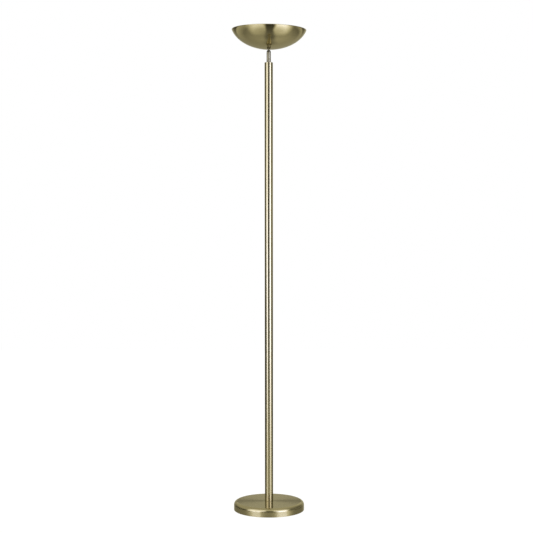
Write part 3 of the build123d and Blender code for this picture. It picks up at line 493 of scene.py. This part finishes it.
def inlet(step, height, radius):
    """The opening in the rear of the cover's wall for the cord grommet."""
    rear = abs(step + 0.5 - COVER_STEPS / 4) < INLET_STEPS
    in_wall = radius > BASE_R - 2 * SHEET
    return rear and in_wall and abs(height - GROMMET_Z) < INLET_HALF_H


inside_r = BASE_R - SHEET
cover_outline = [
    (inside_r, BASE_FOOT, EDGE_R),
    (BASE_R, BASE_FOOT, EDGE_R),
    (BASE_R, GROMMET_Z - INLET_HALF_H),
    (BASE_R, GROMMET_Z + INLET_HALF_H),
    (BASE_R, BASE_TOP, BASE_CORNER_R),
    (HOLE_R, BASE_TOP),
    (HOLE_R, BASE_TOP - SHEET),
    (inside_r, BASE_TOP - SHEET, BASE_CORNER_R - SHEET),
    (inside_r, GROMMET_Z + INLET_HALF_H),
    (inside_r, GROMMET_Z - INLET_HALF_H),
]
cover = turned("base_cover_spun", path(cover_outline, steps=14), COVER_STEPS, leave_out=inlet)
stand_for(cover, "stand", "antique_brass", brass_base, "base_cover")

# ---- Pole: three tubes and the cap, with fine grooves where they meet --------------------------

for name in ("pole_lower", "pole_middle", "pole_upper"):
    foot, head = (corner.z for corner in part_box(name))
    tube_outline = [
        (POLE_R - POLE_WALL, foot),
        (POLE_R - SEAM_CHAMFER, foot),
        (POLE_R, foot + SEAM_CHAMFER, SEAM_EDGE_R),
        (POLE_R, head - SEAM_CHAMFER, SEAM_EDGE_R),
        (POLE_R - SEAM_CHAMFER, head),
        (POLE_R - POLE_WALL, head),
    ]
    tube = turned(name + "_tube", path(tube_outline, steps=3), POLE_STEPS)
    stand_for(tube, "stand", "antique_brass", brass_pole, name)

plug_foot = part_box("pole_cap")[0].z
cap_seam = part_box("pole_upper")[1].z
cap_outline = [
    (CAP_PLUG_R - CAP_PLUG_WALL, plug_foot),
    (CAP_PLUG_R, plug_foot),
    (CAP_PLUG_R, cap_seam),
    (POLE_R - SEAM_CHAMFER, cap_seam),
    (POLE_R, cap_seam + SEAM_CHAMFER, SEAM_EDGE_R),
    (POLE_R, POLE_TOP, CAP_CORNER_R),
    (CAP_BORE_R, POLE_TOP),
    (CAP_BORE_R, cap_seam - CAP_CROWN_DEPTH),
    (CAP_PLUG_R - CAP_PLUG_WALL, cap_seam - CAP_CROWN_DEPTH),
]
cap = turned("pole_cap_turned", path(cap_outline, steps=6), POLE_STEPS)
stand_for(cap, "stand", "antique_brass", brass_pole, "pole_cap")

# ---- Bowl: half an ellipsoid of sheet with a small flat at the stem and a rolled edge ------------


def angle_at(centre, point):
    """The direction from centre to point, in degrees."""
    return math.degrees(math.atan2(point.y - centre.y, point.x - centre.x))


def bowl_profile():
    """Runs from the stem hole out along the outside, round the bead and back inside."""
    edge = -math.degrees(math.asin((BOWL_B - BOWL_EDGE_H) / BOWL_B))
    radii = (BOWL_A, BOWL_B)
    radii_in = (BOWL_A - BOWL_SHEET, BOWL_B - BOWL_SHEET)
    flat = math.degrees(math.asin(BOWL_FLAT_R / radii[0])) - 90
    flat_in = math.degrees(math.asin(BOWL_FLAT_R / radii_in[0])) - 90
    outer = arc((0, BOWL_B), radii, flat, edge, BOWL_ARC_STEPS)
    inner = arc((0, BOWL_B), radii_in, edge, flat_in, BOWL_ARC_STEPS)

    rim, rim_way = outer[-1]
    centre = rim + Vector((-rim_way.y, rim_way.x)) * BEAD_R
    start = angle_at(centre, rim)
    finish = angle_at(centre, inner[0][0])
    while finish < start + 180:
        finish += 360
    bead = arc(centre, (BEAD_R, BEAD_R), start, finish - BEAD_GAP, BEAD_STEPS)

    hole = Vector((STEM_HOLE_R, outer[0][0].y))
    hole_in = Vector((STEM_HOLE_R, inner[-1][0].y))
    return [
        line(hole, outer[0][0]),
        outer,
        bead,
        line(bead[-1][0], inner[1][0]),
        inner[1:],
        line(inner[-1][0], hole_in),
        line(hole_in, hole),
    ]


bowl = turned("bowl_spun", bowl_profile(), BOWL_STEPS, HEAD)
stand_for(bowl, "head", "antique_brass", brass_bowl, "bowl")

# ---- Ball joint -------------------------------------------------------------------------------

ring_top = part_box("joint_lock_ring")[1].z
ring_outline = [
    (RING_BORE_R, POLE_TOP),
    (JOINT_R - RING_CHAMFER, POLE_TOP),
    (JOINT_R, POLE_TOP + RING_CHAMFER, SEAM_EDGE_R),
    (JOINT_R, ring_top - RING_CHAMFER, SEAM_EDGE_R),
    (JOINT_R - RING_CHAMFER, ring_top),
    (RING_BORE_R, ring_top),
]
lock_ring = turned("joint_lock_ring_turned", path(ring_outline, steps=3), RING_STEPS)
stand_for(lock_ring, "stand", "satin_nickel", nickel, "joint_lock_ring")

give(nodes["joint_housing"], nickel)
give(nodes["joint_cap"], nickel_cap)
give(nodes["ball_stem"], nickel)

# ---- Everything else: each material slot's own grain --------------------------------------------


def grained(name, colour, dark, roughness, scale, height=0.0001, stretch=(1, 1, 1), spread=0.06, **sockets):
    """A surface whose colour, roughness and height wander with a grain; stretch draws it out."""
    graph, surface, material = shader(name)
    where = graph.node("ShaderNodeTexCoord").outputs["Object"]
    drawn = graph.node("ShaderNodeVectorMath", operation="MULTIPLY")
    graph.put(drawn.inputs[0], where)
    graph.put(drawn.inputs[1], stretch)
    fine = graph.noise(drawn.outputs[0], scale, detail=5.0, roughness=0.6)
    broad = graph.noise(where, scale / 10, detail=3.0, roughness=0.5)
    tone = graph.shares((fine, 0.6), (broad, 0.4))
    shown = graph.mix(graph.ramp(tone, *TONE), (*dark, 1), (*colour, 1))
    most, least = roughness + spread, max(roughness - spread, 0.0)
    graph.put(surface.inputs["Base Color"], shown)
    graph.put(surface.inputs["Roughness"], graph.ramp(tone, *TONE, most, least))
    graph.put(surface.inputs["Normal"], graph.bump(fine, strength=0.35, distance=height))
    for key, value in sockets.items():
        surface.inputs[key.replace("_", " ")].default_value = value
    return material


LOOKS = {
    "cast_iron": dict(
        colour=(0.06, 0.057, 0.054), dark=(0.03, 0.029, 0.028), roughness=0.72, scale=260, height=0.0004
    ),
    "black_steel": dict(
        colour=(0.034, 0.034, 0.036), dark=(0.02, 0.02, 0.021), roughness=0.48, scale=900
    ),
    "zinc_steel": dict(
        colour=(0.62, 0.63, 0.63), dark=(0.48, 0.49, 0.5), roughness=0.3, scale=420, height=0.00003,
        Metallic=1.0,
    ),
    "spring_steel": dict(
        colour=(0.52, 0.52, 0.52), dark=(0.4, 0.4, 0.41), roughness=0.26, scale=500, height=0.00003,
        stretch=(0.1, 1, 1), Metallic=1.0,
    ),
    "polished_aluminium": dict(
        colour=(0.89, 0.89, 0.9), dark=(0.8, 0.8, 0.81), roughness=0.16, scale=700, height=0.00002,
        stretch=(0.08, 1, 1), Metallic=1.0,
    ),
    "black_rubber": dict(
        colour=(0.026, 0.026, 0.026), dark=(0.013, 0.013, 0.013), roughness=0.74, scale=700
    ),
    "white_nylon": dict(
        colour=(0.79, 0.76, 0.69), dark=(0.71, 0.68, 0.6), roughness=0.44, scale=500, height=0.00005,
        Subsurface_Weight=0.1,
    ),
    "plain_brass": dict(
        colour=(0.78, 0.58, 0.27), dark=(0.62, 0.45, 0.19), roughness=0.3, scale=450, height=0.00003,
        Metallic=1.0,
    ),
    "silver_contact": dict(
        colour=(0.86, 0.85, 0.82), dark=(0.7, 0.68, 0.63), roughness=0.22, scale=800, height=0.00002,
        Metallic=1.0,
    ),
    "steatite": dict(
        colour=(0.83, 0.8, 0.73), dark=(0.73, 0.69, 0.61), roughness=0.5, scale=600, height=0.00008,
        Coat_Weight=0.15,
    ),
    "quartz": dict(
        colour=(0.98, 0.985, 0.99), dark=(0.94, 0.95, 0.96), roughness=0.03, scale=90, height=0.00002,
        stretch=(0.3, 1, 1), spread=0.02, Transmission_Weight=1.0, IOR=1.458,
    ),
    "tungsten": dict(
        colour=(0.34, 0.33, 0.32), dark=(0.2, 0.19, 0.19), roughness=0.4, scale=900, height=0.00001,
        Metallic=1.0,
    ),
    "clear_glass": dict(
        colour=(0.95, 0.985, 0.97), dark=(0.9, 0.95, 0.93), roughness=0.03, scale=40, height=0.00001,
        spread=0.025, Transmission_Weight=1.0, IOR=1.52,
    ),
    "grey_sheath": dict(
        colour=(0.34, 0.34, 0.35), dark=(0.26, 0.26, 0.27), roughness=0.46, scale=600
    ),
    "silicone_lead": dict(
        colour=(0.74, 0.69, 0.58), dark=(0.64, 0.59, 0.49), roughness=0.4, scale=700, height=0.00005,
        stretch=(0.3, 1, 1),
    ),
}
materials = {slot: grained(slot, **look) for slot, look in LOOKS.items()}
for part in frame["record"]["subparts"]:
    if part["material_slot"] in materials:
        give(nodes[part["node"]], materials[part["material_slot"]])

# ---- Lamp: drawn quartz tube, and the coiled filament inside --------------------------------------

bore_r = TUBE_R - TUBE_WALL
neck_bore_r = TUBE_NECK_R - TUBE_WALL
tube_outline = [
    (neck_bore_r, -TUBE_HALF, EDGE_R),
    (TUBE_NECK_R, -TUBE_HALF, EDGE_R),
    (TUBE_NECK_R, -TUBE_NECK_HALF, TUBE_BEND_R),
    (TUBE_R, -TUBE_STRAIGHT_HALF, TUBE_BEND_R),
    (TUBE_R, TUBE_STRAIGHT_HALF, TUBE_BEND_R),
    (TUBE_NECK_R, TUBE_NECK_HALF, TUBE_BEND_R),
    (TUBE_NECK_R, TUBE_HALF, EDGE_R),
    (neck_bore_r, TUBE_HALF, EDGE_R),
    (neck_bore_r, TUBE_NECK_HALF, TUBE_BEND_R),
    (bore_r, TUBE_STRAIGHT_HALF, TUBE_BEND_R),
    (bore_r, -TUBE_STRAIGHT_HALF, TUBE_BEND_R),
    (neck_bore_r, -TUBE_NECK_HALF, TUBE_BEND_R),
]
lamp_tube = turned("lamp_tube_drawn", path(tube_outline, steps=6), TUBE_STEPS, LAMP)
stand_for(lamp_tube, "head", "quartz", materials["quartz"], "lamp_tube")


def filament_points():
    """A coil whose first and last two turns widen from the straight tails."""
    points = [in_head(-TUBE_HALF, 0, LAMP_H)]
    turns = 2 * FILAMENT_HALF / FILAMENT_PITCH
    for i in range(int(turns * FILAMENT_STEPS) + 1):
        x = -FILAMENT_HALF + FILAMENT_PITCH * i / FILAMENT_STEPS
        turn = 2 * math.pi * i / FILAMENT_STEPS
        r = FILAMENT_R * min(1.0, (FILAMENT_HALF - abs(x)) / (2 * FILAMENT_PITCH))
        points.append(in_head(x, r * math.cos(turn), LAMP_H + r * math.sin(turn)))
    points.append(in_head(TUBE_HALF, 0, LAMP_H))
    return points


filament = wound("lamp_filament_coil", filament_points(), FILAMENT_WIRE_R, FILAMENT_SIDES)
stand_for(filament, "head", "tungsten", materials["tungsten"], "lamp_filament")

# ---- Contact springs: a coil behind each pin; on the real lamp they shorten as their pins go out ---


def spring_points(side):
    """A coil from the contact pin's back to the end of its bore, on the left (-1) or right (1)."""
    points = []
    count = int(SPRING_TURNS * SPRING_STEPS)
    run = SPRING_END - SPRING_START - 2 * SPRING_WIRE_R
    for i in range(count + 1):
        share = i / count
        x = side * (SPRING_START + SPRING_WIRE_R + run * share)
        turn = 2 * math.pi * SPRING_TURNS * share
        points.append(in_head(x, SPRING_R * math.cos(turn), LAMP_H + SPRING_R * math.sin(turn)))
    return points


for name, side in (("left", -1), ("right", 1)):
    spring = wound("contact_spring_%s_coil" % name, spring_points(side), SPRING_WIRE_R, SPRING_SIDES)
    stand_for(spring, "head", "spring_steel", materials["spring_steel"], "contact_spring_" + name)
    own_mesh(spring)

# ---- Studio light -------------------------------------------------------------------------------

# Levels of light by elevation in degrees, from straight down to straight up. The two soft
# panels stand to the left and right of the camera, with a dark middle between them. All of
# the studio's numbers were set so that the brass shows the photo's reflections.
MIDDLE = (
    (-90, 0.26), (-70, 0.16), (-50, 0.1), (-36, 0.02), (-25, 0.2), (-18, 0.62), (-14, 0.62),
    (-12, 0.5), (-8, 0.12), (-4, 0.02), (8, 0.0), (16, 0.1), (26, 0.4), (48, 0.85), (64, 0.7),
    (90, 0.6),
)
PANEL_LEFT = (
    (-90, 0.5), (-80, 0.52), (-68, 0.7), (-58, 0.79), (-48, 1.14), (-36, 1.64), (-25, 1.2),
    (-14, 0.77), (-10, 1.45), (-6, 3.0), (-2, 3.15), (1, 2.5), (4, 2.0), (12, 1.9), (30, 2.1),
    (46, 1.4), (66, 0.7), (90, 0.6),
)
PANEL_RIGHT = (
    (-90, 0.55), (-80, 0.7), (-68, 0.95), (-58, 1.1), (-48, 1.58), (-36, 2.3), (-25, 1.65),
    (-16, 0.93), (-12, 1.05), (-9, 2.0), (-6, 3.4), (-2, 3.3), (10, 3.1), (20, 2.0), (32, 1.6),
    (46, 1.05), (66, 0.65), (90, 0.6),
)
SIDE_LEFT = (
    (-90, 0.42), (-60, 0.42), (-48, 0.38), (-38, 0.28), (-22, 0.6), (-16, 0.76), (-13, 0.08),
    (-5, 0.05), (2, 0.22), (8, 0.1), (14, 0.44), (30, 0.62), (60, 0.6), (90, 0.6),
)
SIDE_RIGHT = (
    (-90, 0.42), (-60, 0.46), (-48, 0.46), (-41, 0.34), (-35, 0.3), (-27, 0.22), (-20, 0.54),
    (-16, 0.74), (-13, 0.06), (-5, 0.12), (2, 0.5), (8, 0.16), (30, 0.3), (60, 0.6), (90, 0.6),
)
REAR = (
    (-90, 0.5), (-60, 0.58), (-40, 0.46), (-25, 0.46), (-8, 0.42), (4, 0.6), (11, 0.69),
    (12.2, 0.24), (14.2, 0.24), (15.4, 0.7), (24, 0.63), (60, 0.66), (90, 0.6),
)
LEVEL_LIMIT = 8.0

# Where the panels begin and end by elevation, in degrees to either side of the camera, and
# over how many degrees they do so
INNER_LEFT = (
    (-90, 6), (-50, 9), (-36, 9), (-25, 6), (-17, 0), (-13, 0), (-9, 20), (-4, 26), (3, 24),
    (8, 18), (16, 7), (40, 4), (90, 4),
)
INNER_RIGHT = (
    (-90, 6), (-50, 16), (-36, 15), (-25, 6), (-17, 0), (-13, 0), (-9, 26), (-4, 22), (0, 18),
    (3, 20), (5, 25), (8, 32), (16, 12), (40, 6), (90, 4),
)
INNER_SOFT = (
    (-90, 12), (-36, 17), (-25, 18), (-17, 46), (-13, 44), (-9, 12), (-4, 5), (8, 5), (16, 10),
    (40, 14), (90, 14),
)
OUTER_LEFT = (
    (-90, 85), (-60, 85), (-48, 60), (-36, 48), (-22, 52), (-15, 56), (-8, 46), (-4, 54),
    (0, 67), (4, 74), (10, 60), (30, 62), (90, 60),
)
OUTER_RIGHT = (
    (-90, 85), (-60, 85), (-48, 62), (-36, 52), (-22, 50), (-15, 58), (-8, 58), (-3, 54),
    (4, 51), (8, 56), (18, 58), (30, 56), (90, 50),
)
OUTER_SOFT = (
    (-90, 50), (-36, 48), (-22, 44), (-14, 44), (-8, 16), (-3, 10), (3, 10), (14, 22), (90, 30),
)

# Where the sides give way to the rear by elevation, and over how many degrees
TURNING = ((-90, 116), (-40, 116), (-28, 125), (90, 125))
TURNING_SOFT = 40.0

FLANK = (30.0, 75.0)  # degrees to the side over which the dark middle gives way to the sides
REAR_X = (-0.3, 0.3)  # the rear's level changes from left to right
REAR_SHARE = (0.9, 1.06)

# A dark strip below, on the line from the camera past the lamp: where it fades out and is
# full to either side, and how strong it is, each in front of the lamp and behind it
STRIP_X = 0.012
STRIP_OUT = (0.22, 0.18)
STRIP_FULL = (0.08, 0.02)
STRIP_SHARE = (1.0, 0.6)
STRIP_BELOW = (-34.0, -50.0)
BEHIND_Y = (0.2, 0.5)

DIM, WARM = 0.7, (1.0, 0.97, 0.74, 1)
BRIGHT, NEUTRAL = 1.7, (1.0, 1.0, 1.02, 1)
DAZZLING, COOL = 3.0, (1.0, 1.07, 1.55, 1)


def studio_level(g):
    """How bright the studio is in each direction; x is right, y is away from the camera."""
    x, y, z = g.split(g.node("ShaderNodeTexCoord").outputs["Generated"])
    in_degrees = 180 / math.pi
    azimuth = g.times(g.math("ARCTAN2", x, g.times(y, -1.0)), in_degrees)
    elevation = g.times(g.math("ARCSINE", z), in_degrees)
    aside = g.math("ABSOLUTE", azimuth)
    on_right = g.math("GREATER_THAN", azimuth, 0.0)

    def level(pairs):
        return g.curve(elevation, pairs, -90.0, 90.0, LEVEL_LIMIT)

    def angle(pairs):
        return g.curve(elevation, pairs, -90.0, 90.0, 180.0)

    start = g.between(on_right, angle(INNER_LEFT), angle(INNER_RIGHT))
    opening = g.ramp(aside, start, g.add(start, angle(INNER_SOFT)))
    end = g.between(on_right, angle(OUTER_LEFT), angle(OUTER_RIGHT))
    closing = g.ramp(aside, end, g.add(end, angle(OUTER_SOFT)))
    panels = g.times(opening, g.minus(1.0, closing))
    panel_level = g.between(on_right, level(PANEL_LEFT), level(PANEL_RIGHT))

    middle = level(MIDDLE)
    side = g.between(on_right, level(SIDE_LEFT), level(SIDE_RIGHT))
    flank = g.between(g.ramp(aside, *FLANK), middle, side)
    rear = g.times(level(REAR), g.between(g.ramp(x, *REAR_X), *REAR_SHARE))
    turning = angle(TURNING)
    rearward = g.ramp(aside, turning, g.add(turning, TURNING_SOFT))
    room = g.between(panels, g.between(rearward, flank, rear), panel_level)

    behind = g.ramp(y, *BEHIND_Y)
    off_centre = g.math("ABSOLUTE", g.minus(x, STRIP_X))
    strip = g.ramp(off_centre, g.between(behind, *STRIP_OUT), g.between(behind, *STRIP_FULL))
    strip = g.times(strip, g.between(behind, *STRIP_SHARE))
    below = g.times(g.ramp(elevation, *STRIP_BELOW), strip)
    return g.between(below, room, middle)


def studio_light(g):
    """The studio's light: warm where it is dim, cool where it is brightest."""
    level = studio_level(g)
    tint = g.mix(g.ramp(level, DIM, BRIGHT, smooth=False), WARM, NEUTRAL)
    tint = g.mix(g.ramp(level, BRIGHT, DAZZLING, smooth=False), tint, COOL)
    light = g.node("ShaderNodeVectorMath", operation="SCALE")
    g.put(light.inputs[0], tint)
    g.put(light.inputs["Scale"], level)
    return light.outputs[0]


def studio():
    """The world: the studio's light, and a white backdrop behind the object."""
    world = bpy.data.worlds.new("studio")
    g = Graph(world)
    lit = g.node("ShaderNodeBackground")
    g.put(lit.inputs[0], studio_light(g))
    backdrop = g.node("ShaderNodeBackground")
    g.put(backdrop.inputs[0], (1, 1, 1, 1))
    seen = g.node("ShaderNodeMixShader")
    g.put(seen.inputs[0], g.node("ShaderNodeLightPath").outputs["Is Camera Ray"])
    g.put(seen.inputs[1], lit.outputs[0])
    g.put(seen.inputs[2], backdrop.outputs[0])
    g.put(g.node("ShaderNodeOutputWorld").inputs[0], seen.outputs[0])
    return world


scene.world = studio()
scene.view_settings.view_transform = "Standard"

# ---- Floor ----------------------------------------------------------------------------------------

FLOOR_HALF = 6.0
FLOOR_GLOW = 0.93
FLOOR_GREY = (0.16, 0.16, 0.16, 1)


def floor_white():
    """White by its own glow, with a little grey that takes shadows."""
    material = bpy.data.materials.new("floor_white")
    g = Graph(material)
    glow = g.node("ShaderNodeEmission")
    g.put(glow.inputs[0], (1, 1, 1, 1))
    g.put(glow.inputs[1], FLOOR_GLOW)
    matte = g.node("ShaderNodeBsdfDiffuse")
    g.put(matte.inputs[0], FLOOR_GREY)
    both = g.node("ShaderNodeAddShader")
    g.put(both.inputs[0], glow.outputs[0])
    g.put(both.inputs[1], matte.outputs[0])
    g.put(g.node("ShaderNodeOutputMaterial").inputs[0], both.outputs[0])
    return material


floor_mesh = bpy.data.meshes.new("floor")
floor_corners = [(x * FLOOR_HALF, y * FLOOR_HALF, 0) for x, y in ((-1, -1), (1, -1), (1, 1), (-1, 1))]
floor_mesh.from_pydata(floor_corners, [], [(0, 1, 2, 3)])
floor = linked("floor", floor_mesh)
give(floor, floor_white())
floor.visible_glossy = False
floor.visible_diffuse = False
floor.visible_shadow = False

# ---- Camera: a little above the lamp's middle, looking slightly down -------------------------------

# Its place, angles and lens were fitted to the lamp's outline in the photo.
CAMERA_PLACE = (0, -4.283, 1.0285)
CAMERA_PAN = math.radians(0.118)
CAMERA_DIP = math.radians(1.514)
CAMERA_ROLL = math.radians(-0.045)
LENS_MM = 77.27
SENSOR_MM = 36.0

camera_data = bpy.data.cameras.new("camera")
camera_data.lens = LENS_MM
camera_data.sensor_width = SENSOR_MM
camera_data.clip_start = 0.1
camera_data.clip_end = 50.0
camera = bpy.data.objects.new("camera", camera_data)
scene.collection.objects.link(camera)
camera.location = CAMERA_PLACE
camera.rotation_mode = "QUATERNION"
camera.rotation_quaternion = (
    Matrix.Rotation(CAMERA_PAN, 3, "Z")
    @ Matrix.Rotation(math.pi / 2 - CAMERA_DIP, 3, "X")
    @ Matrix.Rotation(CAMERA_ROLL, 3, "Z")
).to_quaternion()
scene.camera = camera

bpy.context.view_layer.update()
